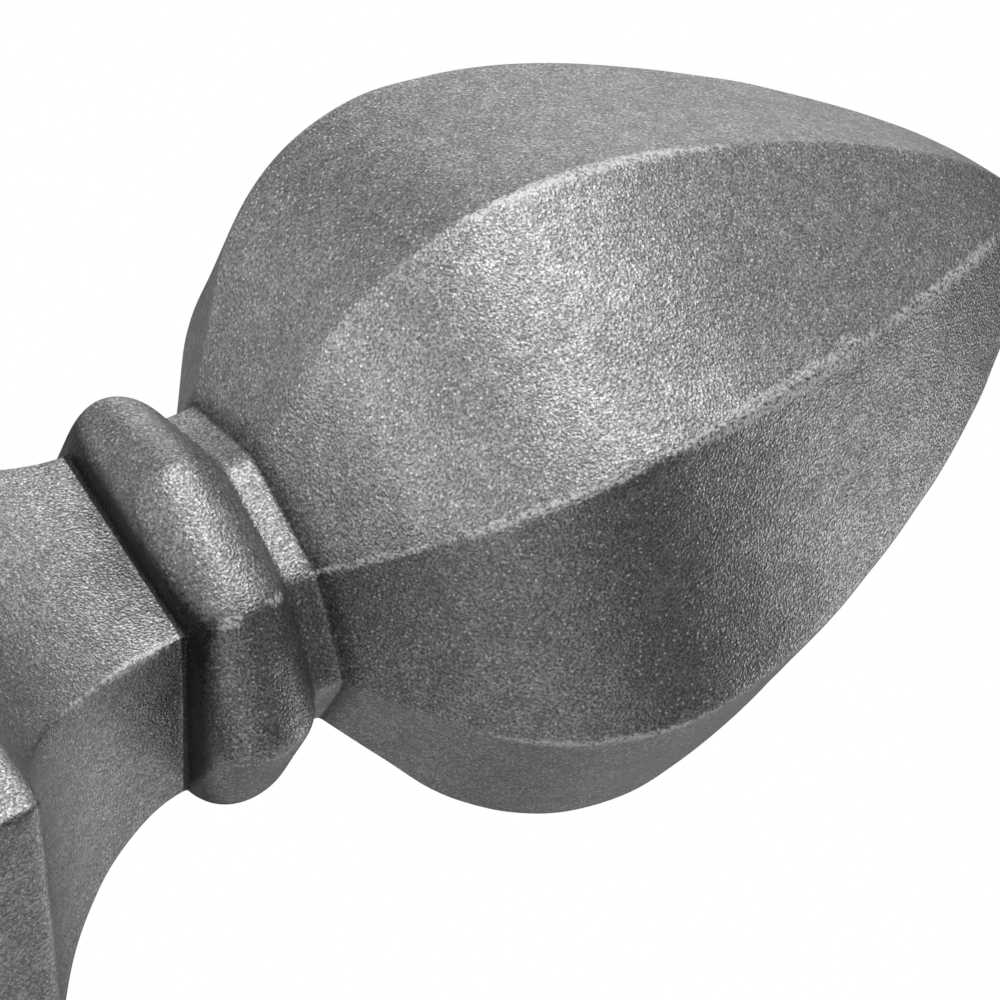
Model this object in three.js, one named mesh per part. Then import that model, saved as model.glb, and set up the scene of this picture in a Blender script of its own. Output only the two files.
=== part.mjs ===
// Forged steel post cap: a square foot, a square cove, an eight-sided collar and an eight-sided bud.
// Millimetres, +Z up. The origin is the centre of the flat underside, which sits on the post.
import * as THREE from "three";

const { degToRad, lerp } = THREE.MathUtils;

// Square foot, and the cove that sweeps in from its top edge to the square bar
const footSide = 60;
const footHeight = 12;
const footEdge = 0.6;
const barSide = 19.2;
const barTaper = degToRad(2);
const coveRun = 24;
const coveTurn = degToRad(65);
const lipTurn = degToRad(9);

// Half-round collar where the bar turns eight-sided, and the neck above it, measured to their corners
const collarRadius = 16.2;
const beadRadius = 4.2;
const collarStep = 0.35;
const neckRadius = 13;
const neckHeight = 3;

// Bud: a straight wall off the neck, then shoulder, flank, taper and point as arcs that join smoothly
const wallSlope = degToRad(56);
const wallRun = 8.9;
const shoulderRun = 21.8;
const shoulderTurn = degToRad(-62.7);
const flankRun = 11.3;
const flankTurn = degToRad(-14.7);
const taperRun = 30.7;
const taperTurn = degToRad(-18.1);
const pointTurnPerMm = degToRad(-1.17);

// Fineness of the arcs
const arcStep = 1.4;
const beadStep = 0.7;

const sides = 8;

// Walks along one arc in the plane of height z and radius r, and returns the points after the first
function followArc(start, run, turn) {
  const count = Math.ceil(run / arcStep);
  const points = [];
  let { z, r, heading } = start;
  for (let i = 0; i < count; i++) {
    const middle = heading + turn / count / 2;
    z += Math.cos(middle) * run / count;
    r += Math.sin(middle) * run / count;
    heading += turn / count;
    points.push({ z, r, heading });
  }
  return points;
}

// Half side of the square against depth below the top of the bar, down to the edge of the foot
function coveProfile() {
  const points = [{ z: 0, r: barSide / 2, heading: barTaper }];
  points.push(...followArc(points.at(-1), coveRun, coveTurn));
  const lip = points.at(-1);
  const lipRun = (footSide / 2 - footEdge - lip.r) / Math.sin(lip.heading + lipTurn / 2);
  points.push(...followArc(lip, lipRun, lipTurn));
  return points;
}

// Corner radius of the bud against height above the neck, up to the point
function budProfile() {
  const points = [{ z: 0, r: neckRadius, heading: wallSlope }];
  points.push(...followArc(points.at(-1), wallRun, 0));
  points.push(...followArc(points.at(-1), shoulderRun, shoulderTurn));
  points.push(...followArc(points.at(-1), flankRun, flankTurn));
  points.push(...followArc(points.at(-1), taperRun, taperTurn));
  while (points.at(-1).r > arcStep) {
    points.push(...followArc(points.at(-1), arcStep, pointTurnPerMm * arcStep));
  }
  const end = points.at(-1);
  points.push({ z: end.z - end.r / Math.tan(end.heading), r: 0 });
  return points;
}

// A level cut through the part has its four corners at one radius and its four mid-sides at another
const squareCut = (z, halfSide) => ({ z, corner: halfSide * Math.SQRT2, middle: halfSide });
const octagonCut = (z, radius) => ({ z, corner: radius, middle: radius });

// The collar is a round bead whose centre circle lies inside the corners of the bar
function collarCuts(barTop, neckFoot, beadHeight, centreRadius) {
  const first = Math.acos((beadHeight - barTop - collarStep) / beadRadius);
  const last = Math.acos((beadHeight - neckFoot) / beadRadius);
  const count = Math.ceil((last - first) * beadRadius / beadStep);
  const cuts = [];
  for (let i = 0; i <= count; i++) {
    const angle = lerp(first, last, i / count);
    const z = beadHeight - beadRadius * Math.cos(angle);
    cuts.push(octagonCut(z, centreRadius + beadRadius * Math.sin(angle)));
  }
  return cuts;
}

function stackCuts() {
  const cove = coveProfile();
  const barTop = footHeight + cove.at(-1).z;
  const centreRadius = collarRadius - beadRadius;
  const beadHeight = barTop + Math.sqrt(beadRadius ** 2 - (barSide / Math.SQRT2 - centreRadius) ** 2);
  const neckFoot = beadHeight + Math.sqrt(beadRadius ** 2 - (neckRadius - centreRadius) ** 2);
  const budFoot = neckFoot + neckHeight;
  return [
    squareCut(0, footSide / 2),
    squareCut(footHeight - footEdge, footSide / 2),
    ...cove.reverse().map(({ z, r }) => squareCut(barTop - z, r)),
    ...collarCuts(barTop, neckFoot, beadHeight, centreRadius),
    ...budProfile().map(({ z, r }) => octagonCut(budFoot + z, r)),
  ];
}

// Joins the cuts, from the underside up to the point, into one closed skin
function skinCuts(cuts) {
  const rings = cuts.slice(0, -1);
  const positions = [0, 0, cuts[0].z];
  for (const { z, corner, middle } of rings) {
    for (let side = 0; side < sides; side++) {
      const angle = Math.PI / 4 + side * 2 * Math.PI / sides;
      const radius = side % 2 === 0 ? corner : middle;
      positions.push(radius * Math.cos(angle), radius * Math.sin(angle), z);
    }
  }
  const point = positions.length / 3;
  positions.push(0, 0, cuts.at(-1).z);

  const indices = [];
  const top = 1 + (rings.length - 1) * sides;
  for (let side = 0; side < sides; side++) {
    const next = (side + 1) % sides;
    indices.push(0, 1 + next, 1 + side);
    for (let low = 1; low < top; low += sides) {
      const high = low + sides;
      indices.push(low + side, low + next, high + next);
      indices.push(low + side, high + next, high + side);
    }
    indices.push(top + side, top + next, point);
  }

  const geometry = new THREE.BufferGeometry();
  geometry.setAttribute("position", new THREE.Float32BufferAttribute(positions, 3));
  geometry.setIndex(indices);
  return geometry;
}

function makePostCap() {
  const forgedSteel = new THREE.MeshStandardMaterial({
    color: 0x6b6b6a,
    roughness: 0.55,
    metalness: 0.85,
    flatShading: true,
  });
  const postCap = new THREE.Mesh(skinCuts(stackCuts()), forgedSteel);
  postCap.name = "post_cap";
  return postCap;
}

const model = new THREE.Group();
model.add(makePostCap());

export default model;
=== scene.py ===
"""Forged steel post cap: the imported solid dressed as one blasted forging, on a pale studio floor."""

import math

import bpy
import numpy as np
from bpy.props import FloatProperty, FloatVectorProperty, PointerProperty
from bpy.types import Operator, Panel, PropertyGroup
from mathutils import Matrix, Vector, noise


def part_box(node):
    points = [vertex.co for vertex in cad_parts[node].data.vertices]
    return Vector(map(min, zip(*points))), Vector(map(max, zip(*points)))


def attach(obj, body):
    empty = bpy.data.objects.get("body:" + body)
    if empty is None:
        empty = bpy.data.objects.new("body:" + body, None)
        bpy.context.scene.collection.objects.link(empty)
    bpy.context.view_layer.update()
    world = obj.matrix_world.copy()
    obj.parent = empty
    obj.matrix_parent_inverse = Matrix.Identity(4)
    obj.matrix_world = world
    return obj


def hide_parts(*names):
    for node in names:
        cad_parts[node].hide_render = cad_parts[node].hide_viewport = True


bl_info = {
    "name": "Forged Post Cap",
    "version": (1, 0, 0),
    "blender": (4, 5, 0),
    "location": "View3D > Sidebar > Post Cap",
    "description": "Dresses a forged steel post cap and sets it on a studio floor",
    "category": "Object",
}

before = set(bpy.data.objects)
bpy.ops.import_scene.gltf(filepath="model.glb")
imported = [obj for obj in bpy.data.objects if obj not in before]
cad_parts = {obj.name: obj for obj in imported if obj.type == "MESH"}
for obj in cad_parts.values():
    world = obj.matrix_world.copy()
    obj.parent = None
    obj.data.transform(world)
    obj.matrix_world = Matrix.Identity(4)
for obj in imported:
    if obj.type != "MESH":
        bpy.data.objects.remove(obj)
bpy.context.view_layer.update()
SOLID_LOW, SOLID_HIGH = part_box("post_cap")

MM = 0.001
SIDES = 8
SECTOR = math.tau / SIDES

# Fineness of the mesh
PROFILE_STEP = 0.4 * MM
FACE_STEPS = 11
FACE_CROWDING = 1.8
STEP_RINGS = 9
UNDERSIDE_RINGS = 8
FOOT_RINGS = 28
NECK_RINGS = 8
EASING_PASSES = 2

# Width of the ringed border of the underside, counted in foot edges
UNDERSIDE_BORDER = 5

# How far the collar's lean reaches down the bar
LEAN_REACH = 7 * MM

# Middle of the nick in the near ridge
NICK_MIDDLE = 85.2 * MM

# Sizes of the broad and the close dents, and the share of each in their depth
BROAD_DENTS = 11 * MM
CLOSE_DENTS = 4 * MM
BROAD_SHARE = 0.7
CLOSE_SHARE = 0.3

# Size of the chips in the nick, and how deep the nick is where they add nothing, as a share
CHIPS = 1.3 * MM
UNCHIPPED_SHARE = 0.6

# How far the corners are pulled in, from crisp to soft
CRISP = 0.10 * MM
WORN = 0.25 * MM

# Ridge stretches of bare steel wear that also carry a painted highlight: degrees of the ridge, height of
# the middle, half length, width, strength
RUBBED_AND_HIGHLIGHTED = (
    (-90, 73 * MM, 18 * MM, 0.8 * MM, 1.3),
    (-45, 78 * MM, 18 * MM, 1.1 * MM, 1.6),
    (-45, 58 * MM, 14 * MM, 0.7 * MM, 1.1),
    (-45, 47 * MM, 7 * MM, 0.5 * MM, 1.1),
    (-45, NICK_MIDDLE, 2.8 * MM, 2.0 * MM, 1.2),
    (-45, 98 * MM, 18 * MM, 0.9 * MM, 1.2),
    (-45, 40 * MM, 1.6 * MM, 0.7 * MM, 1.3),
    (-45, 36 * MM, 1.6 * MM, 0.7 * MM, 1.3),
    (-45, 28.8 * MM, 5.2 * MM, 0.7 * MM, 1.4),
    (-45, 23 * MM, 7 * MM, 0.5 * MM, 0.7),
    (0, 58 * MM, 14 * MM, 0.7 * MM, 1.1),
    (45, 63 * MM, 12 * MM, 0.6 * MM, 1.0),
    (90, 84 * MM, 10 * MM, 0.7 * MM, 1.1),
    (180, 70 * MM, 14 * MM, 0.6 * MM, 1.0),
)

# Painted shade in the creases under the collar and above the neck, dark colour put where shade falls: how
# far up it reaches, and its strength
COLLAR_PAINTED_SHADE = (3.9 * MM, 1.0)
NECK_PAINTED_SHADE = (2.2 * MM, 0.4)

# Sizes of the patterns in the steel
MOTTLE = 7 * MM
RAGS = 0.5 * MM
SPECKS = 0.3 * MM
CLUSTERS = 1.8 * MM

# Values of its pattern between which each mask fades in
WEAR_AND_HIGHLIGHT_LIMITS = (0.3, 0.6)
SPECK_LIMITS = (0.41, 0.56)
PAINTED_SHADE_LIMITS = (0.05, 0.45)
LIGHT_GRAIN_LIMITS = (0.48, 0.63)
PORE_LIMITS = (0.34, 0.5)
GLINT_CHANCE_LIMITS = (0.62, 0.72)
GLINT_EDGE_LIMITS = (0.2, 0.36)
PATCH_LIMITS = (0.3, 0.7)

# How ragged the stretches of ridge wear with painted highlight are, and the painted shade in the creases
WEAR_AND_HIGHLIGHT_RAGGEDNESS = 1.5
PAINTED_SHADE_RAGGEDNESS = 0.4

# How much of each layer's colour covers the layers below it
LIGHT_GRAIN_COVER = 0.6
PORE_COVER = 0.8
PATCH_COVER = 0.12
GLINT_COVER = 0.9
PAINTED_SHADE_COVER = 0.9
WEAR_AND_HIGHLIGHT_COVER = 0.9

# What each mask adds to the roughness, or takes from the roughness or the metallic value
PATCH_ROUGHNESS = 0.08
WORN_ROUGHNESS = 0.15
LIGHT_GRAIN_POLISH = 0.08
WORN_METALLIC_LOSS = 0.6
GLINT_METALLIC_LOSS = 0.4

# The photograph in pixels, and how the cap's axis lies in it
PICTURE_SIDE = 1000
NECK_PIXEL = (256.8, 562.1)
NECK_DEPTH = 375.6 * MM
AXIS_LEAN = math.radians(25.46)
AXIS_TILT = math.radians(19.2)
NEAR_RIDGE_ANGLE = math.radians(-45)
NEAR_RIDGE_TURN = math.radians(11.43)

# The camera: its sensor and lens in millimetres, and how near it sees
SENSOR_WIDTH = 36
LENS = 180
NEAR_CLIP = 10 * MM

# How far off the light panels stand, and how far up the bud they aim
LIGHT_DISTANCE = 600 * MM
LIGHT_AIM_ABOVE_NECK = 25 * MM

# Side of each panel, and its direction in the photograph as right, up and towards the viewer
LIGHTS = {
    "key": (600 * MM, (0.23, 0.72, 0.65)),
    "foot": (250 * MM, (-0.88, 0.04, 0.47)),
    "back": (600 * MM, (0.03, 0.78, -0.62)),
    "under": (600 * MM, (0.52, -0.61, -0.59)),
    "side": (250 * MM, (0.86, -0.26, -0.44)),
    "top": (600 * MM, (0.67, 0.73, -0.14)),
    "above": (600 * MM, (-0.04, 0.91, 0.41)),
}


def length(name, description, millimetres):
    default = millimetres * MM
    return FloatProperty(name=name, description=description, default=default, unit="LENGTH", precision=5)


def angle(name, description, degrees):
    default = math.radians(degrees)
    return FloatProperty(name=name, description=description, default=default, subtype="ANGLE")


def colour(name, description, grey):
    default = [grey] * 3
    return FloatVectorProperty(
        name=name, description=description, default=default, subtype="COLOR", min=0, max=1
    )


def amount(name, description, default):
    return FloatProperty(name=name, description=description, default=default, min=0)


class PostCapSizes(PropertyGroup):
    """Driving sizes of the forging. The collar and neck differ from the solid by up to 0.4 mm."""

    foot_side: length("Foot side", "Side of the square foot, as packed", (SOLID_HIGH.x - SOLID_LOW.x) / MM)
    foot_height: length("Foot height", "Height of the square foot", 12)
    foot_edge: length("Foot edge", "How far the foot's top edge is eased", 0.6)
    bar_side: length("Bar side", "Side of the square bar under the collar", 19.2)
    bar_taper: angle("Bar taper", "Slope of the bar's sides where the cove starts", 2)
    cove_run: length("Cove length", "Length of the cove's round stretch", 24)
    cove_turn: angle("Cove turn", "Turn of the cove's round stretch", 65)
    lip_turn: angle("Lip turn", "Turn from the cove to the foot's edge", 9)
    collar_radius: length("Collar radius", "Radius to the collar's corners", 16.4)
    bead_radius: length("Bead radius", "Radius of the collar's half-round", 4.5)
    collar_step: length("Collar step", "Height of the step from the bar to the collar", 0.35)
    collar_lean: angle("Collar lean", "Slope of the collar's underside", 2.6)
    neck_radius: length("Neck radius", "Radius to the neck's corners", 13)
    neck_height: length("Neck height", "Height of the neck above the collar", 2.6)
    wall_slope: angle("Bud wall slope", "Slope of the wall at the bud's foot", 56)
    wall_run: length("Bud wall", "Length of the straight wall", 8.9)
    shoulder_run: length("Shoulder", "Length of the shoulder's arc", 21.8)
    shoulder_turn: angle("Shoulder turn", "Turn of the shoulder's arc", -62.7)
    flank_run: length("Flank", "Length of the flank's arc", 11.3)
    flank_turn: angle("Flank turn", "Turn of the flank's arc", -14.7)
    taper_run: length("Taper", "Length of the taper's arc", 30.7)
    taper_turn: angle("Taper turn", "Turn of the taper's arc", -18.1)
    point_turn: angle("Point turn", "Turn of the point in each millimetre", -1.17)
    dent_depth: length("Dent depth", "Depth of the dents left by the dies", 0.16)
    nick_height: length("Nick height", "Height of the nick in the near ridge", NICK_MIDDLE / MM)
    nick_reach: length("Nick reach", "Half width of the nick", 1.7)
    nick_depth: length("Nick depth", "Depth of the nick", 0.3)


class PostCapFinish(PropertyGroup):
    """Greys and grain of the blasted steel"""

    steel: colour("Steel", "Blasted grey of the faces", 0.33)
    scale: colour("Scale", "Darker forge scale in the grain", 0.13)
    # Near-black painted into the creases as shade
    painted_shade_colour: colour("Painted shade", "Black of the tight hollows", 0.02)
    # Light steel of the grain, also used for the painted glint dots and for the ridge wear with its painted
    # highlight
    bright: colour("Worn steel", "Bright metal of the glints and worn ridges", 0.85)
    roughness: amount("Roughness", "Roughness of the faces", 0.35)
    metallic: amount("Metallic", "How metallic the faces are", 0.88)
    grain_size: length("Grain size", "Size of the blasted grain", 0.22)
    grain_depth: length("Grain depth", "Depth of the blasted grain", 0.08)
    # Spacing of the painted glint dots
    glint_spacing: length("Glint spacing", "Distance between the brightest grains, at their closest", 0.36)


class PostCapStage(PropertyGroup):
    """Floor and lights"""

    floor: colour("Floor", "Grey of the studio floor", 0.82)
    floor_side: length("Floor side", "Side of the floor", 3000)
    floor_lift: amount("Floor lift", "Share of the floor's grey that shows in any light", 0.55)
    surround: amount("Surround", "Strength of the white surround", 0.065)
    key: amount("Key light", "Watts of the panel above, on the viewer's side", 2.3)
    foot: amount("Foot light", "Watts of the small panel beside the foot", 1.25)
    back: amount("Back light", "Watts of the panel above and behind", 0.88)
    under: amount("Under light", "Watts of the panel below and behind", 0.5)
    side: amount("Side light", "Watts of the small panel beyond the point of the bud", 0.36)
    top: amount("Top light", "Watts of the panel above the point of the bud", 0.5)
    above: amount("Overhead light", "Watts of the panel straight above the bud", 0.36)


class Shade:
    """One shader value. Sums and products of shades and numbers add Math nodes to its tree."""

    def __init__(self, tree, socket):
        self.tree = tree
        self.socket = socket

    def math(self, operation, first, second):
        return self.tree.node("ShaderNodeMath", {"operation": operation}, {0: first, 1: second})

    def __add__(self, other):
        return self.math("ADD", self, other)

    def __sub__(self, other):
        return self.math("SUBTRACT", self, other)

    def __rsub__(self, other):
        return self.math("SUBTRACT", other, self)

    def __mul__(self, other):
        return self.math("MULTIPLY", self, other)

    __radd__ = __add__
    __rmul__ = __mul__


class ShadeTree:
    """The nodes of a material or a world, each made from its type, settings and sockets"""

    def __init__(self, owner):
        owner.use_nodes = True
        self.nodes = owner.node_tree.nodes
        self.links = owner.node_tree.links
        self.nodes.clear()

    def node(self, kind, settings, sockets, output=0):
        """Adds a node and gives back one output. A socket is named by its identifier, name or number."""
        made = self.nodes.new(kind)
        for name, value in settings.items():
            if name == "stops":
                self.set_stops(made.color_ramp, value)
            else:
                setattr(made, name, value)
        for name, value in sockets.items():
            socket = self.find(made.inputs, name)
            if isinstance(value, Shade):
                self.links.new(value.socket, socket)
            else:
                socket.default_value = value
        return Shade(self, self.find(made.outputs, output)) if made.outputs else None

    @staticmethod
    def find(sockets, name):
        if isinstance(name, int):
            return sockets[name]
        matches = [socket for socket in sockets if socket.identifier == name]
        return matches[0] if matches else sockets[name]

    @staticmethod
    def set_stops(ramp, stops):
        while len(ramp.elements) < len(stops):
            ramp.elements.new(1)
        for element, (position, grey) in zip(ramp.elements, stops):
            element.position = position
            element.color = (grey, grey, grey, 1)

    def fade(self, value, limits):
        """0 below the first limit, 1 above the second and straight between them"""
        low, high = limits
        return self.node("ShaderNodeValToRGB", {"stops": [(low, 0), (high, 1)]}, {"Fac": value}, "Color")

    def cloud(self, position, size, detail, roughness):
        sockets = {"Vector": position, "Scale": 1 / size, "Detail": detail, "Roughness": roughness}
        return self.node("ShaderNodeTexNoise", {}, sockets, "Fac")

    def cells(self, position, size, output):
        sockets = {"Vector": position, "Scale": 1 / size}
        return self.node("ShaderNodeTexVoronoi", {}, sockets, output)

    def mix(self, factor, first, second):
        sockets = {"Factor_Float": factor, "A_Color": first, "B_Color": second}
        return self.node("ShaderNodeMix", {"data_type": "RGBA"}, sockets, "Result_Color")


def forged_steel(finish):
    """Blasted forged steel: fine grain with painted glint dots, painted shade in the creases, and bright
    ragged ridges of wear with painted highlight
    """
    material = bpy.data.materials.new("forged_steel")
    tree = ShadeTree(material)
    position = tree.node("ShaderNodeTexCoord", {}, {}, "Object")
    rubbed = tree.node("ShaderNodeAttribute", {"attribute_name": "rubbed"}, {}, "Fac")
    # Weight of the painted shade, highest at the creases
    hollow = tree.node("ShaderNodeAttribute", {"attribute_name": "hollow"}, {}, "Fac")

    grain = tree.cloud(position, finish.grain_size, detail=2, roughness=0.7)
    pits = tree.cells(position, finish.grain_size, "Distance")
    mottle = tree.cloud(position, MOTTLE, detail=4, roughness=0.6)
    ragged = tree.cloud(position, RAGS, detail=3, roughness=0.7)
    specks = tree.cloud(position, SPECKS, detail=3, roughness=0.75)
    clusters = tree.cloud(position, CLUSTERS, detail=4, roughness=0.7)
    chance = tree.cells(position, finish.glint_spacing, "Color")
    from_middle = tree.cells(position, finish.glint_spacing, "Distance")

    # Ridge wear with painted highlight: bare steel along stretches of ridge, painted bright also as the
    # highlight of ridges catching light
    ragged_wear = rubbed + WEAR_AND_HIGHLIGHT_RAGGEDNESS * (ragged - 0.5)
    wear_and_highlight = tree.fade(ragged_wear, WEAR_AND_HIGHLIGHT_LIMITS) * tree.fade(specks, SPECK_LIMITS)
    # Painted shade: darkens the creases under the collar and above the neck, where shade falls
    painted_shade = tree.fade(hollow + (ragged - 0.5) * PAINTED_SHADE_RAGGEDNESS, PAINTED_SHADE_LIMITS)
    light_grains = tree.fade(0.75 * grain + 0.25 * clusters, LIGHT_GRAIN_LIMITS)
    pores = 1 - tree.fade(0.85 * grain + 0.15 * clusters, PORE_LIMITS)
    # Painted glints: bright dots put into the colour as highlights of single grains
    chosen = tree.fade(chance, GLINT_CHANCE_LIMITS)
    painted_glints = chosen * (1 - tree.fade(from_middle, GLINT_EDGE_LIMITS))
    patches = tree.fade(mottle, PATCH_LIMITS)

    steel = (*finish.steel, 1)
    scale = (*finish.scale, 1)
    painted_shade_colour = (*finish.painted_shade_colour, 1)
    bright = (*finish.bright, 1)
    faces = tree.mix(LIGHT_GRAIN_COVER * light_grains, steel, bright)
    faces = tree.mix(PORE_COVER * pores, faces, scale)
    faces = tree.mix(PATCH_COVER * patches, faces, scale)
    # Painted glints, bright dots standing in for highlights
    faces = tree.mix(GLINT_COVER * painted_glints, faces, bright)
    # Painted shade in the creases
    faces = tree.mix(PAINTED_SHADE_COVER * painted_shade, faces, painted_shade_colour)
    # Ridge wear, with the painted highlight of the ridges
    finished = tree.mix(WEAR_AND_HIGHLIGHT_COVER * wear_and_highlight, faces, bright)

    roughened = finish.roughness + PATCH_ROUGHNESS * patches + WORN_ROUGHNESS * wear_and_highlight
    roughness = roughened - LIGHT_GRAIN_POLISH * light_grains
    metallic = finish.metallic - WORN_METALLIC_LOSS * wear_and_highlight - GLINT_METALLIC_LOSS * painted_glints
    relief = {"Distance": finish.grain_depth, "Height": 0.5 * grain + 0.5 * pits}
    bump = tree.node("ShaderNodeBump", {}, relief, "Normal")
    sockets = {"Base Color": finished, "Roughness": roughness, "Metallic": metallic, "Normal": bump}
    surface = tree.node("ShaderNodeBsdfPrincipled", {}, sockets, "BSDF")
    tree.node("ShaderNodeOutputMaterial", {}, {"Surface": surface})
    return material


def floor_paint(stage):
    """Matt floor that stays pale in any light where it is seen, and is clear from below"""
    material = bpy.data.materials.new("studio_floor")
    tree = ShadeTree(material)
    below = tree.node("ShaderNodeNewGeometry", {}, {}, "Backfacing")
    shadow = tree.node("ShaderNodeLightPath", {}, {}, "Is Shadow Ray")
    seen = tree.node("ShaderNodeLightPath", {}, {}, "Is Camera Ray")
    matt = tree.node("ShaderNodeBsdfDiffuse", {}, {"Color": (*stage.floor, 1)}, "BSDF")
    glow = tree.node("ShaderNodeEmission", {}, {"Color": (*stage.floor, 1)}, "Emission")
    clear = tree.node("ShaderNodeBsdfTransparent", {}, {}, "BSDF")
    lifted = tree.node("ShaderNodeMixShader", {}, {0: seen * stage.floor_lift, 1: matt, 2: glow})
    unseen = tree.node("ShaderNodeMath", {"operation": "MAXIMUM"}, {0: below, 1: shadow})
    surface = tree.node("ShaderNodeMixShader", {}, {0: unseen, 1: lifted, 2: clear})
    tree.node("ShaderNodeOutputMaterial", {}, {"Surface": surface})
    return material


def follow_arc(start, run, turn):
    """Walks one arc in the plane of height and radius. A point is (height, radius, heading)."""
    count = max(1, math.ceil(run / PROFILE_STEP))
    height, radius, heading = start
    points = []
    for _ in range(count):
        middle = heading + turn / count / 2
        height += math.cos(middle) * run / count
        radius += math.sin(middle) * run / count
        heading += turn / count
        points.append((height, radius, heading))
    return points


def cove_profile(sizes):
    """Half side of the square against depth below the top of the bar"""
    points = [(0, sizes.bar_side / 2, sizes.bar_taper)]
    points += follow_arc(points[-1], sizes.cove_run, sizes.cove_turn)
    _, radius, heading = points[-1]
    lip_run = (sizes.foot_side / 2 - sizes.foot_edge - radius) / math.sin(heading + sizes.lip_turn / 2)
    points += follow_arc(points[-1], lip_run, sizes.lip_turn)
    return points


def bud_profile(sizes):
    """Corner radius of the bud against height above the neck"""
    points = [(0, sizes.neck_radius, sizes.wall_slope)]
    points += follow_arc(points[-1], sizes.wall_run, 0)
    points += follow_arc(points[-1], sizes.shoulder_run, sizes.shoulder_turn)
    points += follow_arc(points[-1], sizes.flank_run, sizes.flank_turn)
    points += follow_arc(points[-1], sizes.taper_run, sizes.taper_turn)
    while points[-1][1] > PROFILE_STEP:
        points += follow_arc(points[-1], PROFILE_STEP, sizes.point_turn * PROFILE_STEP / MM)
    return points


class Levels:
    """Heights of the forging's stages, worked out from its sizes"""

    def __init__(self, sizes):
        self.bead_centre = sizes.collar_radius - sizes.bead_radius
        bar_corner = sizes.bar_side / math.sqrt(2)
        self.bar_top = sizes.foot_height + cove_profile(sizes)[-1][0]
        self.bead = self.bar_top + self.bead_rise(sizes, bar_corner)
        self.neck_foot = self.bead + self.bead_rise(sizes, sizes.neck_radius)
        self.bud_foot = self.neck_foot + sizes.neck_height

    def bead_rise(self, sizes, radius):
        """Height from the bead's centre to where it meets a radius"""
        return math.sqrt(sizes.bead_radius**2 - (radius - self.bead_centre) ** 2)


def soft_polygon(angles, apothem, sides, first_normal, rounding):
    """Radius of a regular polygon at each angle, with its corners pulled in by the rounding"""
    power = max(SIDES, apothem * math.log(2) / rounding)
    reach = np.zeros_like(angles)
    for side in range(sides):
        facing = np.cos(angles - first_normal - side * math.tau / sides)
        reach += np.maximum(facing, 0) ** power
    return apothem / reach ** (1 / power)


def rise_and_fall(value, low, high):
    """0 at low and high, and 1 halfway between them, rounded"""
    return np.sin(np.clip((value - low) / (high - low), 0, 1) * math.pi) ** 2


class Skin:
    """Level rings of the forging from the underside up, all cut at the same angles round the axis"""

    def __init__(self):
        steps = np.arange(FACE_STEPS + 1) / FACE_STEPS
        half = steps**FACE_CROWDING * SECTOR / 2
        sector = np.concatenate([half, SECTOR - half[-2:0:-1]])
        self.angles = np.concatenate([side * SECTOR + sector for side in range(SIDES)])
        self.heights = []
        self.radii = []
        self.creases = []

    def square(self, height, half_side, rounding):
        self.heights.append(height)
        self.radii.append(soft_polygon(self.angles, half_side, SIDES // 2, 0, rounding))

    def octagon(self, height, corner_radius, rounding):
        apothem = corner_radius * math.cos(SECTOR / 2)
        self.heights.append(height)
        self.radii.append(soft_polygon(self.angles, apothem, SIDES, SECTOR / 2, rounding))

    def fill_to_last(self, count):
        """Puts rings along straight lines between the last two"""
        height, radii = self.heights.pop(), self.radii.pop()
        low_height, low_radii = self.heights[-1], self.radii[-1]
        for step in range(1, count + 1):
            share = step / count
            self.heights.append(low_height + (height - low_height) * share)
            self.radii.append(low_radii + (radii - low_radii) * share)

    def mark_crease(self, width, strength):
        self.creases.append((len(self.heights) - 1, width, strength))

    def points(self):
        """Places of the skin, ring by ring, with the turns of the profile eased"""
        radii = np.array(self.radii)
        grid = np.empty((*radii.shape, 3))
        grid[..., 0] = radii * np.cos(self.angles)
        grid[..., 1] = radii * np.sin(self.angles)
        grid[..., 2] = np.array(self.heights)[:, None]
        for _ in range(EASING_PASSES):
            grid[2:-1] = (grid[1:-2] + 2 * grid[2:-1] + grid[3:]) / 4
        return grid

    @staticmethod
    def rubbed(grid):
        """How strongly each place shows ridge wear with painted highlight, by how near it lies to one of
        those stretches of ridge
        """
        strength = np.zeros(grid.shape[:2])
        for degrees, middle, half_length, width, stretch_strength in RUBBED_AND_HIGHLIGHTED:
            corner = round(math.radians(degrees) / SECTOR) % SIDES
            column = corner * FACE_STEPS * 2
            apart = np.linalg.norm(grid - grid[:, column : column + 1], axis=2)
            along = rise_and_fall(grid[..., 2], middle - half_length, middle + half_length)
            near = np.clip(1 - apart / width, 0, 1)
            strength = np.maximum(strength, stretch_strength * near * along)
        return strength

    def hollow(self, grid):
        """How much painted shade each place gets: most at a crease, and none some way above it"""
        depth = np.zeros(grid.shape[:2])
        for ring, width, strength in self.creases:
            apart = np.linalg.norm(grid[ring:] - grid[ring], axis=2)
            depth[ring:] = np.maximum(depth[ring:], strength * np.clip(1 - apart / width, 0, 1))
        return depth


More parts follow.
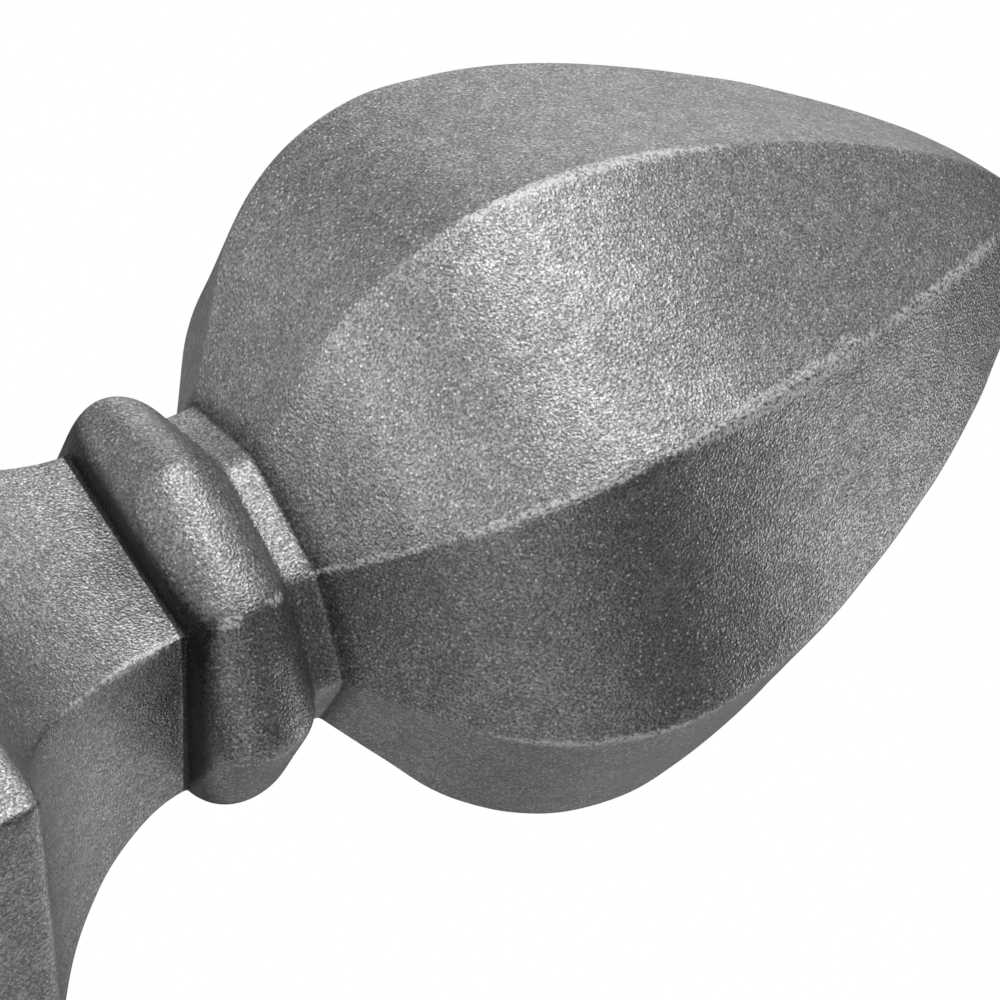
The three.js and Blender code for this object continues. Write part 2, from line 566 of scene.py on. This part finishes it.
def stack_rings(sizes):
    """Rings of the whole forging: underside, foot, cove, collar, neck and bud"""
    levels = Levels(sizes)
    skin = Skin()
    half = sizes.foot_side / 2
    inner = half - UNDERSIDE_BORDER * sizes.foot_edge
    skin.square(0, inner, WORN)
    skin.square(0, half, WORN)
    skin.fill_to_last(UNDERSIDE_RINGS)
    skin.square(sizes.foot_height - sizes.foot_edge, half, WORN)
    skin.fill_to_last(FOOT_RINGS)
    for depth, radius, _ in reversed(cove_profile(sizes)):
        skin.square(levels.bar_top - depth, radius, CRISP)
    # Painted shade reaches up from the crease under the collar
    skin.mark_crease(*COLLAR_PAINTED_SHADE)

    first = math.acos((levels.bead - levels.bar_top - sizes.collar_step) / sizes.bead_radius)
    last = math.acos((levels.bead - levels.neck_foot) / sizes.bead_radius)
    count = math.ceil((last - first) * sizes.bead_radius / PROFILE_STEP)
    for step in range(count + 1):
        turn = first + (last - first) * step / count
        height = levels.bead - sizes.bead_radius * math.cos(turn)
        skin.octagon(height, levels.bead_centre + sizes.bead_radius * math.sin(turn), WORN)
        if step == 0:
            skin.fill_to_last(STEP_RINGS)
    skin.octagon(levels.bud_foot, sizes.neck_radius, WORN)
    skin.fill_to_last(NECK_RINGS)
    # Painted shade reaches up from the crease above the neck
    skin.mark_crease(*NECK_PAINTED_SHADE)
    for height, radius, _ in bud_profile(sizes)[1:]:
        skin.octagon(levels.bud_foot + height, radius, CRISP)
    return skin


def lean_collar(grid, sizes, levels):
    """Tips the underside of the collar about the near ridges, and lets the tip die out above and below"""
    low, high = levels.bar_top - LEAN_REACH, levels.neck_foot
    height = grid[..., 2]
    below = np.clip((height - low) / (levels.bar_top - low), 0, 1)
    above = np.clip((high - height) / (high - levels.bar_top), 0, 1)
    share = np.minimum(below, above)
    across = (grid[..., 0] + grid[..., 1]) / math.sqrt(2)
    grid[..., 2] -= across * math.tan(sizes.collar_lean) * share * share * (3 - 2 * share)


def die_marks(point, sizes):
    """Height of the surface above the true form: broad dents, close dents and the nick in the near ridge"""
    broad = noise.noise(point / BROAD_DENTS)
    close = noise.noise(point / CLOSE_DENTS)
    ragged = noise.noise(point / CHIPS)
    heading = math.atan2(point.y, point.x) - NEAR_RIDGE_ANGLE
    nick = Vector((point.z - sizes.nick_height, heading * point.xy.length)).length / sizes.nick_reach
    chipped = max(0, 1 - nick) * (UNCHIPPED_SHARE + ragged)
    dents = BROAD_SHARE * broad + CLOSE_SHARE * close
    return sizes.dent_depth * dents - sizes.nick_depth * chipped


def add_weights(mesh, name, weights):
    layer = mesh.attributes.new(name, "FLOAT", "POINT")
    layer.data.foreach_set("value", weights.astype(np.float32))


def forging_mesh(sizes):
    """One closed mesh with its ridge wear and painted highlight, and the painted shade of its creases,
    weighted for the finish
    """
    skin = stack_rings(sizes)
    grid = skin.points()
    rings, columns = grid.shape[:2]
    rubbed = np.append(skin.rubbed(grid), [0, 0])
    # How much painted shade each place gets near the creases
    hollow = np.append(skin.hollow(grid), [0, 0])
    lean_collar(grid, sizes, Levels(sizes))

    places = np.vstack([grid.reshape(-1, 3), [[0, 0, 0]], [[0, 0, SOLID_HIGH.z]]])
    underside, point = len(places) - 2, len(places) - 1
    faces = []
    for ring in range(rings - 1):
        for column in range(columns):
            along = (column + 1) % columns
            low, high = ring * columns, (ring + 1) * columns
            faces.append((low + column, low + along, high + along, high + column))
    top = (rings - 1) * columns
    for column in range(columns):
        along = (column + 1) % columns
        faces.append((underside, along, column))
        faces.append((top + column, top + along, point))

    mesh = bpy.data.meshes.new("forged_cap")
    mesh.from_pydata(places.tolist(), [], faces)
    outward = np.array([normal.vector for normal in mesh.vertex_normals])
    marks = [die_marks(Vector(place), sizes) for place in places]
    places += outward * np.array(marks)[:, None] * (places[:, 2:] > 0)
    mesh.vertices.foreach_set("co", places.astype(np.float32).ravel())
    mesh.shade_smooth()
    add_weights(mesh, "rubbed", rubbed)
    add_weights(mesh, "hollow", hollow)
    return mesh


def photo_camera(neck_height):
    """World matrix of the camera, from the neck's pixel and the way the axis and near ridge lie"""
    focal = LENS / SENSOR_WIDTH * PICTURE_SIDE
    across = NECK_PIXEL[0] - PICTURE_SIDE / 2
    down = NECK_PIXEL[1] - PICTURE_SIDE / 2
    neck = Vector((across, -down, -focal)) * NECK_DEPTH / focal
    axis = Vector((math.cos(AXIS_LEAN), math.sin(AXIS_LEAN), 0)) * math.cos(AXIS_TILT)
    axis.z = -math.sin(AXIS_TILT)
    near = (-neck - axis * -neck.dot(axis)).normalized()
    in_camera = Matrix((near, axis.cross(near), axis))

    heading = NEAR_RIDGE_ANGLE - NEAR_RIDGE_TURN
    near_world = Vector((math.cos(heading), math.sin(heading), 0))
    up = Vector((0, 0, 1))
    in_world = Matrix((near_world, up.cross(near_world), up)).transposed()
    turn = in_world @ in_camera
    place = up * neck_height - turn @ neck
    return Matrix.Translation(place) @ turn.to_4x4()


def area_light(name, view, aim, direction, side, power):
    """A square panel that faces the cap, out of the camera's sight"""
    panel = bpy.data.lights.new(f"{name}_light", "AREA")
    panel.size = side
    panel.energy = power
    light = bpy.data.objects.new(panel.name, panel)
    away = (view.to_3x3() @ Vector(direction)).normalized()
    light.location = aim + away * LIGHT_DISTANCE
    light.rotation_mode = "QUATERNION"
    light.rotation_quaternion = away.to_track_quat("Z", "Y")
    light.visible_camera = False
    bpy.context.collection.objects.link(light)


class POSTCAP_OT_forging(Operator):
    """Makes the forged cap, from the foot to the point of the bud"""

    bl_idname = "post_cap.forging"
    bl_label = "Forged cap"

    def execute(self, context):
        cap = bpy.data.objects.new("forged_cap", forging_mesh(context.scene.post_cap_sizes))
        cap.data.materials.append(forged_steel(context.scene.post_cap_finish))
        context.collection.objects.link(cap)
        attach(cap, "root")
        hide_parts("post_cap")
        return {"FINISHED"}


class POSTCAP_OT_stage(Operator):
    """Makes the pale floor, the soft lights and the camera"""

    bl_idname = "post_cap.stage"
    bl_label = "Studio"

    def execute(self, context):
        stage = context.scene.post_cap_stage
        bpy.ops.mesh.primitive_plane_add(size=stage.floor_side)
        floor = context.object
        floor.name = "studio_floor"
        floor.data.materials.append(floor_paint(stage))

        world = bpy.data.worlds.new("studio")
        context.scene.world = world
        tree = ShadeTree(world)
        seen = tree.node("ShaderNodeLightPath", {}, {}, "Is Camera Ray")
        strength = seen * (1 - stage.surround) + stage.surround
        backdrop = tree.node("ShaderNodeBackground", {}, {"Color": (1, 1, 1, 1), "Strength": strength})
        tree.node("ShaderNodeOutputWorld", {}, {"Surface": backdrop})

        levels = Levels(context.scene.post_cap_sizes)
        lens = bpy.data.cameras.new("photo_camera")
        lens.lens = LENS
        lens.sensor_width = SENSOR_WIDTH
        lens.clip_start = NEAR_CLIP
        camera = bpy.data.objects.new("photo_camera", lens)
        camera.matrix_world = photo_camera(levels.bud_foot)
        context.collection.objects.link(camera)
        context.scene.camera = camera
        context.scene.view_settings.view_transform = "Standard"

        aim = Vector((0, 0, levels.bud_foot + LIGHT_AIM_ABOVE_NECK))
        for name, (side, direction) in LIGHTS.items():
            area_light(name, camera.matrix_world, aim, direction, side, getattr(stage, name))
        return {"FINISHED"}


class POSTCAP_PT_panel(Panel):
    """Lists the makers of the post cap, with its sizes and finish"""

    bl_label = "Post Cap"
    bl_space_type = "VIEW_3D"
    bl_region_type = "UI"
    bl_category = "Post Cap"

    def draw(self, context):
        scene = context.scene
        for maker in MAKERS:
            self.layout.operator(maker.bl_idname)
        for group in (scene.post_cap_sizes, scene.post_cap_finish, scene.post_cap_stage):
            box = self.layout.box()
            for name in group.__annotations__:
                box.prop(group, name)


GROUPS = {"post_cap_sizes": PostCapSizes, "post_cap_finish": PostCapFinish, "post_cap_stage": PostCapStage}
MAKERS = (POSTCAP_OT_forging, POSTCAP_OT_stage)


def register():
    for name, group in GROUPS.items():
        bpy.utils.register_class(group)
        setattr(bpy.types.Scene, name, PointerProperty(type=group))
    for kind in (*MAKERS, POSTCAP_PT_panel):
        bpy.utils.register_class(kind)


def unregister():
    for kind in (POSTCAP_PT_panel, *reversed(MAKERS)):
        bpy.utils.unregister_class(kind)
    for name, group in GROUPS.items():
        delattr(bpy.types.Scene, name)
        bpy.utils.unregister_class(group)


def main():
    register()
    bpy.ops.post_cap.forging()
    bpy.ops.post_cap.stage()


if __name__ == "__main__":
    main()
